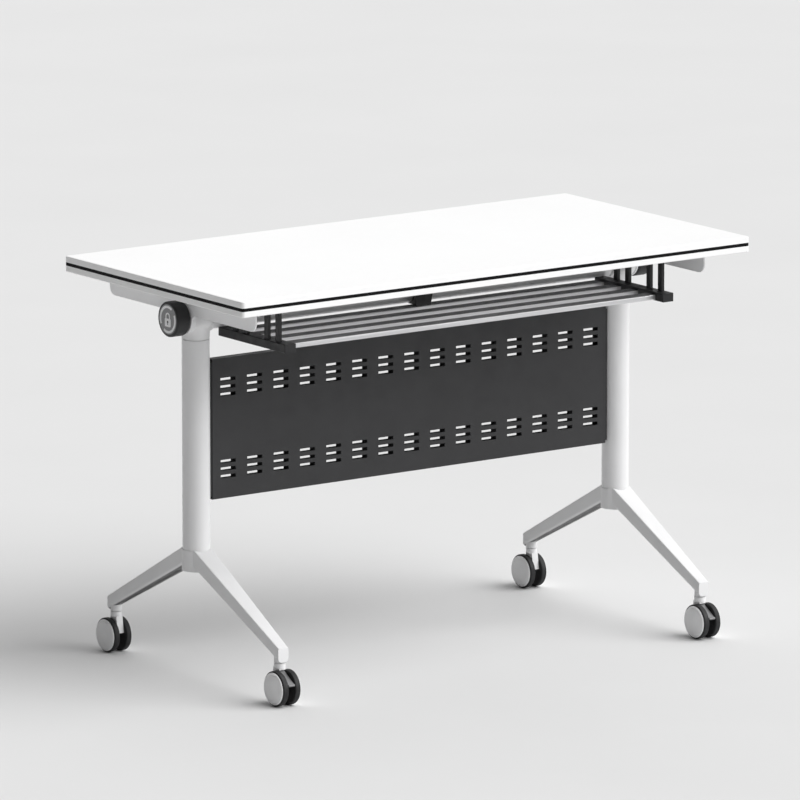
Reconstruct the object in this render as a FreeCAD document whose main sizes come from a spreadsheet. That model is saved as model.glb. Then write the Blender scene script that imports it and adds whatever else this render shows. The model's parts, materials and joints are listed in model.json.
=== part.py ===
import FreeCAD, Part
import Sketcher
import os
import re

# Folding desk with a flip top, in millimetres.
# Origin on the floor under the middle of the desk, +X along its length,
# -Y towards the user, +Z up.

SIZES = {
    # Desktop
    "top_length": 1140,
    "top_depth": 572,
    "top_height": 750,
    "board_thick": 25,
    "corner_radius": 6,
    "edge_soft": 1.5,
    "band_thick": 2,
    "band_lip": 3.5,
    "stripe_tall": 6.2,
    "stripe_deep": 1,
    "glue_gap": 0.05,
    # Fits
    "running_fit": 0.05,
    "press_gap": 0.03,
    "seat_gap": 0.1,
    "moving_gap": 0.35,
    # Flip arms and their pivots
    "pivot_drop": 53,
    "flip_angle": 90,
    "arm_gap": 1.3,
    "arm_thick": 3,
    "arm_tall": 45,
    "arm_long": 468,
    "arm_corner": 16,
    "flange_wide": 45,
    "lobe_radius": 31,
    "lobe_blend": 12,
    "bush_radius": 11,
    "bush_flange": 16,
    "bush_rim": 1,
    "shaft_radius": 8,
    "shaft_seat": 40,
    "tip_radius": 6,
    "tip_long": 22,
    "stop_circle": 24,
    "stop_radius": 3,
    "stop_reach": 8,
    "stop_room": 0.6,
    # Lock knobs
    "knob_radius": 32.5,
    "knob_long": 30,
    "knob_gap": 1,
    "knob_round": 6,
    "knob_edge": 3,
    "plate_radius": 27.5,
    "plate_thick": 1.5,
    # Columns, heads and cross tube
    "column_inset": 94,
    "column_dia": 51,
    "column_wall": 2,
    "tube_dia": 54,
    "seam_drop": 41,
    "seam_gap": 1,
    "spigot_long": 35,
    "flare_half": 47,
    "flare_rise": 33,
    "crown_rise": 75,
    "barrel_radius": 30,
    "head_slim": 1,
    # Feet
    "hub_dia": 54,
    "hub_bottom": 202,
    "hub_tall": 39,
    "leg_start": 10,
    "leg_root_top": 248,
    "leg_root_thick": 35,
    "leg_root_wide": 41,
    "leg_end_top": 105.5,
    "leg_end_thick": 26,
    "leg_end_wide": 22.5,
    "leg_past_stem": 12,
    "leg_round": 2.5,
    "leg_under_round": 7,
    "groove_start": 50,
    "groove_stop": 8,
    "groove_root_wide": 18,
    "groove_end_wide": 9,
    "groove_deep": 14,
    "tenon_wide": 18,
    "tenon_tall": 16,
    "tenon_bottom": 216,
    "leg_bolt_radius": 3,
    "leg_bolt_head": 5.5,
    "leg_bolt_head_tall": 6,
    "leg_bolt_long": 28,
    "leg_bolt_from_axis": 17,
    # Casters
    "stem_reach": 264,
    "stem_radius": 5,
    "stem_seat": 22,
    "stem_foot": 8,
    "boss_radius": 10.5,
    "boss_bottom": 78,
    "swivel_gap": 0.8,
    "post_radius": 10.5,
    "post_tall": 9.2,
    "caster_trail": 8,
    "wheel_radius": 32.3,
    "wheel_wide": 13,
    "wheel_round": 2.5,
    "wheel_inside": 7.2,
    "tread_thick": 5,
    "tyre_wall": 2,
    "cap_radius": 29.5,
    "cap_thick": 1.2,
    "cap_soft": 0.8,
    "web_half": 6.8,
    "web_lift": 5,
    "web_front": 23,
    "web_back": 12,
    "web_top_back": 7,
    "axle_radius": 4,
    "axle_boss": 9,
    "pedal_half": 6.4,
    "pedal_lug_half": 4.8,
    "pedal_slot_half": 5.2,
    "pedal_slot_floor": 37.8,
    "pedal_slot_back": 36,
    "pedal_pivot_out": 2.5,
    "pedal_pivot_high": 56,
    "pedal_pin": 2,
    "pedal_eye": 4,
    "pedal_rise": 4.5,
    "pedal_clear": 0.4,
    "pedal_behind": 4,
    "pedal_long": 37,
    "pedal_lug_long": 20,
    "pedal_lug_low": 2,
    "pedal_thick": 2.5,
    "pedal_lip": 2.2,
    "pedal_tilt": 32,
    "pedal_press": 12,
    # Modesty panel
    "panel_inset": 30,
    "panel_drop": 82.5,
    "panel_tall": 260,
    "panel_thick": 17,
    "skin_thick": 1.2,
    "slot_columns": 15,
    "slot_margin": 35,
    "slot_long": 33.5,
    "slot_tall": 6.5,
    "slot_drop": 1.5,
    "slot_step": 13.9,
    "slot_rows_apart": 152,
    "channel_wide": 13,
    "channel_inset": 5,
    "panel_screw_radius": 2.5,
    "panel_screw_head": 4.5,
    "panel_screw_head_tall": 3,
    "panel_screw_long": 14,
    "panel_screw_apart": 180,
    # Book shelf under the desktop
    "shelf_inset": 38,
    "shelf_end_wide": 25,
    "shelf_back": 16.7,
    "shelf_front": 228,
    "shelf_drop": 91,
    "shelf_end_tall": 16,
    "slat_count": 4,
    "slat_front": 204.5,
    "slat_pitch": 52.6,
    "slat_deep": 28,
    "slat_tall": 9,
    "slat_lift": 2,
    "slat_round": 1.5,
    "slat_seat": 12,
    "post_outside": 4,
    "hanger_wide": 6,
    "hanger_deep": 12,
    "hanger_near": 33,
    "hanger_far": 68,
    "hanger_middle": 130.5,
    "foot_wide": 26,
    "foot_long": 50,
    "foot_thick": 3,
    "foot_screw_in": 7,
    "foot_screw_apart": 32,
    # Saddle at mid span
    "saddle_low_half": 8,
    "saddle_high_half": 9.5,
    "saddle_wall": 19,
    "saddle_plate_thick": 4,
    "saddle_plate_low": 16,
    "saddle_plate_high": 20,
    "saddle_plate_bend": 20,
    "saddle_back": 20,
    "saddle_gap": 0.5,
    "saddle_foot_half": 38,
    "saddle_foot_thick": 4,
    "saddle_screw_out": 31,
    # Wood screws under the desktop
    "screw_radius": 2.25,
    "screw_bite": 15,
    "screw_head": 4.5,
    "screw_head_tall": 2.5,
    "arm_screw_out": 30,
    "arm_screw_near": 60,
    "arm_screw_far": 190,
}

doc = FreeCAD.newDocument("FoldingDesk")
sheet = doc.addObject("Spreadsheet::Sheet", "Sizes")
for row, (alias, value) in enumerate(SIZES.items(), start=1):
    sheet.set(f"A{row}", alias)
    sheet.set(f"B{row}", str(value))
    sheet.setAlias(f"B{row}", alias)
doc.recompute()

ALONG = {
    "x": FreeCAD.Rotation(FreeCAD.Vector(0, 1, 0), 90),
    "y": FreeCAD.Rotation(FreeCAD.Vector(1, 0, 0), -90),
    "z": FreeCAD.Rotation(),
}
NODES = {}


def sized(text):
    """Point each size named in an expression at its cell."""
    return re.sub(r"[a-z_]+", lambda word: f"Sizes.{word[0]}" if word[0] in SIZES else word[0], str(text))


def bind(item, **sizes):
    for name, text in sizes.items():
        item.setExpression(name, sized(text))
    return item


def put(item, x, y, z):
    for name, text in zip("xyz", (x, y, z)):
        item.setExpression(f"Placement.Base.{name}", sized(text))
    return item


def block(name, x, y, z):
    """A box between two places on each axis."""
    item = doc.addObject("Part::Box", name)
    bind(item, Length=f"{x[1]} - ({x[0]})", Width=f"{y[1]} - ({y[0]})", Height=f"{z[1]} - ({z[0]})")
    return put(item, x[0], y[0], z[0])


def rod(name, radius, axis, start, end, across):
    """A cylinder along one axis, at two places across it in x, y, z order."""
    item = doc.addObject("Part::Cylinder", name)
    item.Placement.Rotation = ALONG[axis]
    bind(item, Radius=radius, Height=f"{end} - ({start})")
    spot = list(across)
    spot.insert("xyz".index(axis), start)
    return put(item, *spot)


def tapered(name, x_low, y_low, z_low, x_high, y_high, z_high):
    """A straight block whose lower and upper rectangles differ, both level in z."""
    item = doc.addObject("Part::Wedge", name)
    item.Placement.Rotation = FreeCAD.Rotation(FreeCAD.Vector(1, 0, 0), 90)
    bind(item, Xmin=x_low[0], Xmax=x_low[1], Ymin=z_low, Ymax=z_high, X2min=x_high[0], X2max=x_high[1])
    bind(item, Zmin=f"-({y_low[1]})", Zmax=f"-({y_low[0]})")
    bind(item, Z2min=f"-({y_high[1]})", Z2max=f"-({y_high[0]})")
    return item


def join(name, *pieces):
    item = doc.addObject("Part::MultiFuse", name)
    item.Shapes = list(pieces)
    item.Refine = True
    return item


def cut(name, base, *tools):
    item = doc.addObject("Part::Cut", name)
    item.Base = base
    item.Tool = tools[0] if len(tools) == 1 else join(name + "_tools", *tools)
    item.Refine = True
    return item


def group(name, *pieces):
    item = doc.addObject("Part::Compound", name)
    item.Links = list(pieces)
    return item


def mirror(name, source, normal):
    item = doc.addObject("Part::Mirroring", name)
    item.Source = source
    item.Normal = FreeCAD.Vector(*normal)
    return item


def soften(name, source, radius, wanted):
    """Round the edges of a piece that a test picks out."""
    doc.recompute()
    size = sheet.evalExpression(sized(radius))
    picked = [number for number, edge in enumerate(source.Shape.Edges, start=1) if wanted(edge)]
    item = doc.addObject("Part::Fillet", name)
    item.Base = source
    item.Edges = [(number, size, size) for number in picked]
    return item


def amount(text):
    return float(sheet.evalExpression(sized(text)))


def runs_along(edge, axis):
    """True for a straight edge along an axis."""
    if edge.Curve.TypeId != "Part::GeomLine":
        return False
    return abs(abs(getattr(edge.Curve.Direction, axis)) - 1) < 1e-6


def node(label, item):
    item.Label = label
    NODES[label] = item
    return item


def both_sides(label, item):
    """Keep the left piece and its twin on the right."""
    node("left_" + label, item)
    node("right_" + label, mirror("right_" + label, item, (1, 0, 0)))


# Places that several pieces share
UNDER = "(top_height - board_thick)"
PIVOT = f"({UNDER} - pivot_drop)"
COLUMN = "(top_length / 2 - column_inset)"
SEAM = f"({PIVOT} - seam_drop)"
HUB_TOP = "(hub_bottom + hub_tall)"
COLUMN_FACE = f"({COLUMN} + column_dia / 2)"
ARM_IN = f"({COLUMN_FACE} + arm_gap)"
ARM_OUT = f"({ARM_IN} + arm_thick)"
KNOB_IN = f"({ARM_OUT} + knob_gap)"
KNOB_OUT = f"({KNOB_IN} + knob_long)"
BORE = "(column_dia / 2 - column_wall)"
TUBE_RIM = "(tube_dia / 2)"
PANEL_TOP = f"({PIVOT} - panel_drop)"
PANEL_LOW = f"({PANEL_TOP} - panel_tall)"
PANEL_MIDDLE = f"({PANEL_TOP} - panel_tall / 2)"
PANEL_HALF = f"({COLUMN} - panel_inset)"
SHELF_OUT = f"({COLUMN} - shelf_inset)"
SHELF_LOW = f"({UNDER} - shelf_drop)"

# Screws under the desktop: place in x and y, and depth of the plate below the board
ARM_SCREWS = [
    (f"{side} * ({ARM_OUT} - arm_screw_out)", f"{end} * {reach}", "arm_thick")
    for side in (-1, 1)
    for end in (-1, 1)
    for reach in ("arm_screw_near", "arm_screw_far")
]
FOOT_MIDDLE = "((hanger_near + hanger_far) / 2)"
FOOT_SCREWS = [
    (
        f"{side} * ({SHELF_OUT} - post_outside - foot_wide + foot_screw_in)",
        f"-hanger_middle + {pair} * {FOOT_MIDDLE} + {end} * foot_screw_apart / 2",
        "foot_thick",
    )
    for side in (-1, 1)
    for pair in (-1, 1)
    for end in (-1, 1)
]
SADDLE_SCREWS = [(f"{side} * saddle_screw_out", "0", "saddle_foot_thick") for side in (-1, 1)]
TOP_SCREWS = ARM_SCREWS + FOOT_SCREWS + SADDLE_SCREWS


def screw_holes(name, places):
    """Clearance holes for the screws at some places, through plate and board."""
    radius = "screw_radius + press_gap"
    top = f"{UNDER} + screw_bite + seat_gap"
    return [
        rod(f"{name}_{count}", radius, "z", f"{UNDER} - {plate} - seat_gap", top, (x, y))
        for count, (x, y, plate) in enumerate(places)
    ]


def slab(name, inset, low, high):
    """The desktop's rounded outline, drawn in by an inset, between two heights."""
    half_x = f"(top_length / 2 - {inset})"
    half_y = f"(top_depth / 2 - {inset})"
    plain = block(name + "_plain", (f"-{half_x}", half_x), (f"-{half_y}", half_y), (low, high))
    return soften(name, plain, f"corner_radius - {inset}", lambda edge: runs_along(edge, "z"))


# Desktop: board, edge band and the dark stripe let into the band
board_slab = slab("board_slab", "(band_thick + glue_gap)", UNDER, "top_height")
node("desktop_board", cut("desktop_board", board_slab, *screw_holes("board_hole", TOP_SCREWS)))

BAND_LOW = f"({UNDER} - band_lip)"
STRIPE_LOW = f"((top_height + {BAND_LOW}) / 2 - stripe_tall / 2)"
STRIPE_HIGH = f"({STRIPE_LOW} + stripe_tall)"
whole_slab = slab("whole_slab", "0", BAND_LOW, "top_height")
soft_slab = soften("soft_slab", whole_slab, "edge_soft", lambda edge: not runs_along(edge, "z"))
groove = cut(
    "groove",
    block("groove_room", ("-top_length", "top_length"), ("-top_depth", "top_depth"), (STRIPE_LOW, STRIPE_HIGH)),
    slab("groove_core", "(stripe_deep)", f"{STRIPE_LOW} - 1", f"{STRIPE_HIGH} + 1"),
)
band_core = slab("band_core", "(band_thick)", f"{BAND_LOW} - 1", "top_height + 1")
node("edge_band", cut("edge_band", soft_slab, band_core, groove))
stripe_outer = slab("stripe_outer", "0", f"{STRIPE_LOW} + glue_gap", f"{STRIPE_HIGH} - glue_gap")
stripe_core = slab("stripe_core", "(stripe_deep - glue_gap)", STRIPE_LOW, STRIPE_HIGH)
node("edge_stripe", cut("edge_stripe", stripe_outer, stripe_core))

# Flip arms: an angle under each end of the board with a round eye at the pivot
ARM_LOW = f"({UNDER} - arm_tall)"
web = block("arm_web", (f"-{ARM_OUT}", f"-{ARM_IN}"), ("-arm_long / 2", "arm_long / 2"), (ARM_LOW, UNDER))
web_low = amount(ARM_LOW)
soft_web = soften(
    "arm_soft_web",
    web,
    "arm_corner",
    lambda edge: runs_along(edge, "x") and abs(edge.CenterOfMass.z - web_low) < 0.01,
)
flange = block(
    "arm_flange",
    (f"-{ARM_OUT}", f"-{ARM_OUT} + flange_wide"),
    ("-arm_long / 2", "arm_long / 2"),
    (f"{UNDER} - arm_thick", UNDER),
)
lobe = rod("arm_lobe", "lobe_radius", "x", f"-{ARM_OUT}", f"-{ARM_IN}", ("0", PIVOT))
BLEND_HIGH = f"({ARM_LOW} - lobe_blend)"
BLEND_OUT = f"sqrt((lobe_radius + lobe_blend)^2 - ({BLEND_HIGH} - {PIVOT})^2)"
blend_block = block(
    "arm_blend_block",
    (f"-{ARM_OUT}", f"-{ARM_IN}"),
    (f"-{BLEND_OUT}", BLEND_OUT),
    (BLEND_HIGH, f"{ARM_LOW} + arm_thick"),
)
blend_cuts = [
    rod(f"arm_blend_cut_{count}", "lobe_blend", "x", f"-{ARM_OUT}", f"-{ARM_IN}", (place, BLEND_HIGH))
    for count, place in enumerate((f"-{BLEND_OUT}", BLEND_OUT))
]
arm_solid = join("arm_solid", soft_web, flange, lobe, cut("arm_blend", blend_block, *blend_cuts))
arm_bore = rod("arm_bore", "bush_radius", "x", f"-{ARM_OUT}", f"-{ARM_IN}", ("0", PIVOT))
STOP_HIGH = f"({PIVOT} + stop_circle)"
stop_hole = rod("stop_hole", "stop_radius + press_gap", "x", f"-{ARM_OUT}", f"-{ARM_IN}", ("0", STOP_HIGH))
left_arm_holes = screw_holes("arm_hole", ARM_SCREWS[:4])
both_sides("arm", cut("left_arm", arm_solid, arm_bore, stop_hole, *left_arm_holes))

bush_sleeve = rod("bush_sleeve", "bush_radius - press_gap", "x", f"-{ARM_OUT}", f"-{ARM_IN}", ("0", PIVOT))
bush_flange = rod("bush_rim_disc", "bush_flange", "x", f"-{ARM_IN}", f"-{ARM_IN} + bush_rim", ("0", PIVOT))
bush_bore = rod(
    "bush_bore", "shaft_radius + running_fit", "x", f"-{ARM_OUT}", f"-{ARM_IN} + bush_rim", ("0", PIVOT)
)
left_bush = cut("left_bush", join("bush_solid", bush_sleeve, bush_flange), bush_bore)
node("arm_bushes", group("arm_bushes", left_bush, mirror("right_bush", left_bush, (1, 0, 0))))

left_stop = rod(
    "left_stop", "stop_radius", "x", f"-{ARM_OUT}", f"-{COLUMN_FACE} + stop_reach", ("0", STOP_HIGH)
)
node("stop_pins", group("stop_pins", left_stop, mirror("right_stop", left_stop, (1, 0, 0))))

# Heads: a flared casting on each column that carries the pivot and the cross tube
RIM = "(column_dia / 2)"
SPREAD = f"(flare_half - {RIM})"
SLIM = f"({RIM} - head_slim)"
HEAD_SECTIONS = [
    ("0", f"{RIM}", f"{RIM}"),
    ("0.3 * flare_rise", f"{RIM} + 0.08 * {SPREAD}", f"{RIM} - head_slim / 2"),
    ("0.65 * flare_rise", f"{RIM} + 0.38 * {SPREAD}", SLIM),
    ("flare_rise", "flare_half", SLIM),
    ("flare_rise + 0.35 * (crown_rise - flare_rise)", "flare_half", SLIM),
    ("flare_rise + 0.75 * (crown_rise - flare_rise)", "0.8 * flare_half", f"0.85 * {SLIM}"),
    ("crown_rise", "0.45 * flare_half", f"0.6 * {SLIM}"),
]


def head_section(count, rise, half_depth, half_width):
    """One level outline of the head, longer front to back than across."""
    item = doc.addObject("Part::Ellipse", f"head_section_{count}")
    item.Placement.Rotation = FreeCAD.Rotation(FreeCAD.Vector(0, 0, 1), 90)
    bind(item, MajorRadius=half_depth, MinorRadius=half_width)
    return put(item, f"-{COLUMN}", "0", f"{SEAM} + {rise}")


head_form = doc.addObject("Part::Loft", "head_form")
head_form.Sections = [head_section(count, *section) for count, section in enumerate(HEAD_SECTIONS)]
head_form.Solid = True
head_form.Ruled = False
barrel = rod("head_barrel", "barrel_radius", "x", f"-{COLUMN_FACE}", f"-{COLUMN} + {RIM}", ("0", PIVOT))
tube_spigot = rod(
    "head_tube_spigot",
    f"{TUBE_RIM} - column_wall - seat_gap",
    "x",
    f"-{COLUMN} + {RIM} - seat_gap",
    f"-{COLUMN} + {RIM} + spigot_long",
    ("0", PIVOT),
)
column_spigot = rod(
    "head_column_spigot", f"{BORE} - seat_gap", "z", f"{SEAM} - spigot_long", f"{SEAM} + 1", (f"-{COLUMN}", "0")
)
SHAFT_IN = f"(-{COLUMN_FACE} + shaft_seat)"
shaft_bore = rod(
    "head_shaft_bore", "shaft_radius + press_gap", "x", f"-{COLUMN_FACE} - 1", f"{SHAFT_IN} + seat_gap", ("0", PIVOT)
)


def slot_sector(name, radius):
    """A wedge of a disc from the back round to the top, for the stop pin to travel in."""
    item = doc.addObject("Part::Cylinder", name)
    spare = amount("asin((stop_radius + stop_room) / stop_circle)")
    turn = FreeCAD.Rotation(FreeCAD.Vector(1, 0, 0), -spare)
    axes = FreeCAD.Rotation(FreeCAD.Vector(0, 1, 0), FreeCAD.Vector(0, 0, 1), FreeCAD.Vector(1, 0, 0), "ZXY")
    item.Placement.Rotation = turn * axes
    item.Angle = amount("flip_angle") + 2 * spare
    bind(item, Radius=radius, Height="stop_reach + 2 * stop_room")
    return put(item, f"-{COLUMN_FACE} - stop_room", "0", PIVOT)


stop_slot = cut(
    "stop_slot",
    slot_sector("stop_slot_outer", "stop_circle + stop_radius + stop_room"),
    rod(
        "stop_slot_inner",
        "stop_circle - stop_radius - stop_room",
        "x",
        f"-{COLUMN_FACE} - 1",
        f"-{COLUMN_FACE} + stop_reach + 2",
        ("0", PIVOT),
    ),
)
head_solid = join("head_solid", head_form, barrel, tube_spigot, column_spigot)
both_sides("head", cut("left_head", head_solid, shaft_bore, stop_slot))

shaft_body = rod("shaft_body", "shaft_radius", "x", f"-{KNOB_IN}", SHAFT_IN, ("0", PIVOT))
shaft_tip = rod("shaft_tip", "tip_radius", "x", f"-{KNOB_IN} - tip_long", f"-{KNOB_IN} + 1", ("0", PIVOT))
left_shaft = join("left_shaft", shaft_body, shaft_tip)
node("pivot_shafts", group("pivot_shafts", left_shaft, mirror("right_shaft", left_shaft, (1, 0, 0))))

# Lock knobs: a turned cap on the shaft's tip, with a face plate
knob_plain = rod("knob_plain", "knob_radius", "x", f"-{KNOB_OUT}", f"-{KNOB_IN}", ("0", PIVOT))
knob_middle = -amount(f"({KNOB_IN} + {KNOB_OUT}) / 2")


def round_edge(edge):
    return edge.Curve.TypeId == "Part::GeomCircle"


knob_faced = soften(
    "knob_faced", knob_plain, "knob_edge", lambda edge: round_edge(edge) and edge.CenterOfMass.x < knob_middle
)
knob_rounded = soften(
    "knob_rounded",
    knob_faced,
    "knob_round",
    lambda edge: round_edge(edge) and edge.CenterOfMass.x > knob_middle and edge.Curve.Radius > amount("tip_radius"),
)
knob_bore = rod(
    "knob_bore",
    "tip_radius + running_fit",
    "x",
    f"-{KNOB_IN} - tip_long - moving_gap",
    f"-{KNOB_IN} + 1",
    ("0", PIVOT),
)
knob_recess = rod(
    "knob_recess", "plate_radius + press_gap", "x", f"-{KNOB_OUT} - 1", f"-{KNOB_OUT} + plate_thick", ("0", PIVOT)
)
both_sides("knob", cut("left_knob", knob_rounded, knob_bore, knob_recess))
both_sides(
    "knob_plate",
    rod("left_knob_plate", "plate_radius", "x", f"-{KNOB_OUT}", f"-{KNOB_OUT} + plate_thick", ("0", PIVOT)),
)


def tube(name, radius, axis, start, end, across):
    outer = rod(name + "_outer", radius, axis, start, end, across)
    inner = rod(name + "_inner", f"{radius} - column_wall", axis, f"{start} - 1", f"{end} + 1", across)
    return cut(name, outer, inner)


TUBE_END = f"({COLUMN} - {RIM} - seat_gap)"
node("cross_tube", tube("cross_tube", TUBE_RIM, "x", f"-{TUBE_END}", TUBE_END, ("0", PIVOT)))

# Columns, with a hole for each panel screw
PANEL_SCREW_HIGHS = [f"({PANEL_MIDDLE} + {end} * panel_screw_apart / 2)" for end in (-1, 1)]
CHANNEL_OUT = f"({COLUMN} - {RIM} - seat_gap)"
CHANNEL_IN = f"({CHANNEL_OUT} - channel_wide)"
SCREW_SEAT = f"({CHANNEL_IN} + panel_screw_head_tall)"


def panel_screw_holes(name):
    return [
        rod(
            f"{name}_{count}",
            "panel_screw_radius + press_gap",
            "x",
            f"-{SCREW_SEAT} - panel_screw_long - seat_gap",
            f"-{CHANNEL_IN} + 1",
            ("0", high),
        )
        for count, high in enumerate(PANEL_SCREW_HIGHS)
    ]


column_tube = tube(
    "column_tube", RIM, "z", f"{HUB_TOP} + seat_gap", f"{SEAM} - seam_gap", (f"-{COLUMN}", "0")
)
both_sides("column", cut("left_column", column_tube, *panel_screw_holes("column_hole")))

# Hubs: a casting under each column with a mortise for each leg, holed for any panel screw that reaches it
hub_body = rod("hub_body", "hub_dia / 2", "z", "hub_bottom", HUB_TOP, (f"-{COLUMN}", "0"))
hub_spigot = rod(
    "hub_spigot", f"{BORE} - seat_gap", "z", f"{HUB_TOP} - 1", f"{HUB_TOP} + spigot_long", (f"-{COLUMN}", "0")
)
TENON_TOP = "(tenon_bottom + tenon_tall)"
mortises = [
    block(
        f"hub_mortise_{count}",
        (f"-{COLUMN} - tenon_wide / 2 - seat_gap", f"-{COLUMN} + tenon_wide / 2 + seat_gap"),
        reach,
        ("tenon_bottom - seat_gap", f"{TENON_TOP} + seat_gap"),
    )
    for count, reach in enumerate((("-hub_dia", "-leg_start + seat_gap"), ("leg_start - seat_gap", "hub_dia")))
]


def leg_bolt_space(name, spare, place):
    """A bolt up through the hub into a leg's tenon, or the hole it needs."""
    head = rod(
        name + "_head",
        f"leg_bolt_head + {spare}",
        "z",
        f"hub_bottom - {spare}",
        "hub_bottom + leg_bolt_head_tall",
        (f"-{COLUMN}", place),
    )
    shank = rod(
        name + "_shank",
        f"leg_bolt_radius + {spare}",
        "z",
        "hub_bottom + leg_bolt_head_tall - 1",
        f"hub_bottom + leg_bolt_long + {spare}",
        (f"-{COLUMN}", place),
    )
    return join(name, head, shank)


BOLT_PLACES = ("-leg_bolt_from_axis", "leg_bolt_from_axis")
bolt_holes = [leg_bolt_space(f"bolt_hole_{count}", "press_gap", place) for count, place in enumerate(BOLT_PLACES)]
hub_solid = join("hub_solid", hub_body, hub_spigot)
both_sides("hub", cut("left_hub", hub_solid, *mortises, *bolt_holes, *panel_screw_holes("hub_hole")))
left_bolts = [leg_bolt_space(f"leg_bolt_{count}", "0", place) for count, place in enumerate(BOLT_PLACES)]
right_bolts = [mirror(f"right_leg_bolt_{count}", bolt, (1, 0, 0)) for count, bolt in enumerate(left_bolts)]
node("leg_bolts", group("leg_bolts", *left_bolts, *right_bolts))

# Legs: a beam that falls and narrows from the hub to the caster
LEG_END = "(stem_reach + leg_past_stem)"
leg_beam = doc.addObject("Part::Wedge", "leg_beam")
bind(
    leg_beam,
    Xmin="-leg_root_wide / 2",
    Xmax="leg_root_wide / 2",
    Ymin="leg_start",
    Ymax=LEG_END,
    Zmin="leg_root_top - leg_root_thick",
    Zmax="leg_root_top",
    X2min="-leg_end_wide / 2",
    X2max="leg_end_wide / 2",
    Z2min="leg_end_top - leg_end_thick",
    Z2max="leg_end_top",
)
put(leg_beam, f"-{COLUMN}", "0", "0")
beam_length = amount(LEG_END) / 2
beam_level = amount("(leg_root_top + leg_end_top) / 2 - (leg_root_thick + leg_end_thick) / 8")


def long_edge(edge, upper):
    return edge.Length > beam_length and (edge.CenterOfMass.z > beam_level) == upper


round_beam = soften("round_beam", leg_beam, "leg_under_round", lambda edge: long_edge(edge, False))
soft_beam = soften("soft_beam", round_beam, "leg_round", lambda edge: long_edge(edge, True))


def leg_under(place):
    """Height of the leg's underside at a place along it."""
    root = "(leg_root_top - leg_root_thick)"
    end = "(leg_end_top - leg_end_thick)"
    return f"({root} + ({place} - leg_start) * ({end} - {root}) / ({LEG_END} - leg_start))"


GROOVE_END = "(stem_reach - boss_radius - groove_stop)"
leg_groove = doc.addObject("Part::Wedge", "leg_groove")
bind(
    leg_groove,
    Xmin="-groove_root_wide / 2",
    Xmax="groove_root_wide / 2",
    Ymin="groove_start",
    Ymax=GROOVE_END,
    Zmin=f"{leg_under('groove_start')} - groove_deep",
    Zmax=f"{leg_under('groove_start')} + groove_deep",
    X2min="-groove_end_wide / 2",
    X2max="groove_end_wide / 2",
    Z2min=f"{leg_under(GROOVE_END)} - groove_deep",
    Z2max=f"{leg_under(GROOVE_END)} + groove_deep",
)
put(leg_groove, f"-{COLUMN}", "0", "0")
leg_boss = rod(
    "leg_boss", "boss_radius", "z", "boss_bottom", "leg_end_top - leg_end_thick / 2", (f"-{COLUMN}", "stem_reach")
)
hub_space = rod(
    "hub_space", "hub_dia / 2 + seat_gap", "z", "hub_bottom - hub_tall", f"{HUB_TOP} + hub_tall", (f"-{COLUMN}", "0")
)
tenon = block(
    "tenon",
    (f"-{COLUMN} - tenon_wide / 2", f"-{COLUMN} + tenon_wide / 2"),
    ("leg_start", "hub_dia / 2 + leg_start"),
    ("tenon_bottom", TENON_TOP),
)
stem_socket = rod(
    "stem_socket",
    "stem_radius + running_fit",
    "z",
    "boss_bottom - 1",
    "boss_bottom + stem_seat + moving_gap",
    (f"-{COLUMN}", "stem_reach"),
)
beam_solid = join("beam_solid", soft_beam, leg_boss)
beam_with_boss = cut("beam_with_boss", beam_solid, hub_space, stem_socket, leg_groove)
leg_bolt_hole = leg_bolt_space("leg_bolt_hole", "press_gap", BOLT_PLACES[1])
left_rear_leg = cut("left_rear_leg", join("leg_solid", beam_with_boss, tenon), leg_bolt_hole)
both_sides("rear_leg", left_rear_leg)
both_sides("front_leg", mirror("left_front_leg", left_rear_leg, (0, 1, 0)))

# Modesty panel: two slotted sheet trays back to back


def rectangles(body, name, offset, outlines):
    """A sketch of rectangles in the desk's upright plane, each as x and z limits."""
    sketch = body.newObject("Sketcher::SketchObject", name)
    plane = next(item for item in body.Origin.OriginFeatures if item.Role == "XZ_Plane")
    sketch.AttachmentSupport = [(plane, "")]
    sketch.MapMode = "FlatFace"
    sketch.setExpression("AttachmentOffset.Base.z", sized(offset))
    sketch.recompute()
    for (x_low, x_high), (z_low, z_high) in outlines:
        spots = [(x_low, z_low), (x_high, z_low), (x_high, z_high), (x_low, z_high)]
        points = [FreeCAD.Vector(amount(x), amount(z), 0) for x, z in spots]
        first = sketch.GeometryCount
        for start in range(4):
            sketch.addGeometry(Part.LineSegment(points[start], points[(start + 1) % 4]), False)
        for start in range(4):
            sketch.addConstraint(Sketcher.Constraint("Coincident", first + start, 2, first + (start + 1) % 4, 1))
        for start, direction in enumerate(("Horizontal", "Vertical", "Horizontal", "Vertical")):
            sketch.addConstraint(Sketcher.Constraint(direction, first + start))
        limits = (
            ("DistanceX", first, 1, x_low),
            ("DistanceY", first, 1, z_low),
            ("DistanceX", first + 2, 1, x_high),
            ("DistanceY", first + 2, 1, z_high),
        )
        for kind, line, end, text in limits:
            number = sketch.addConstraint(Sketcher.Constraint(kind, -1, 1, line, end, amount(text)))
            sketch.setExpression(f"Constraints[{number}]", sized(text))
    return sketch


def pad(body, name, sketch, length, reverse):
    item = body.newObject("PartDesign::Pad", name)
    item.Profile = sketch
    item.Reversed = reverse
    return bind(item, Length=length)


SLOT_REACH = f"({PANEL_HALF} - slot_margin)"


def slot_outlines(drop):
    """The first column of slots, each reaching lower by a drop."""
    outlines = []
    for row in (-1, 1):
        for step in (-1, 0, 1):
            level = f"{PANEL_MIDDLE} + {row} * slot_rows_apart / 2 + {step} * slot_step"
            wide = (f"-{SLOT_REACH} - slot_long / 2", f"-{SLOT_REACH} + slot_long / 2")
            outlines.append((wide, (f"{level} - slot_tall / 2 - {drop}", f"{level} + slot_tall / 2")))
    return outlines


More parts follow.
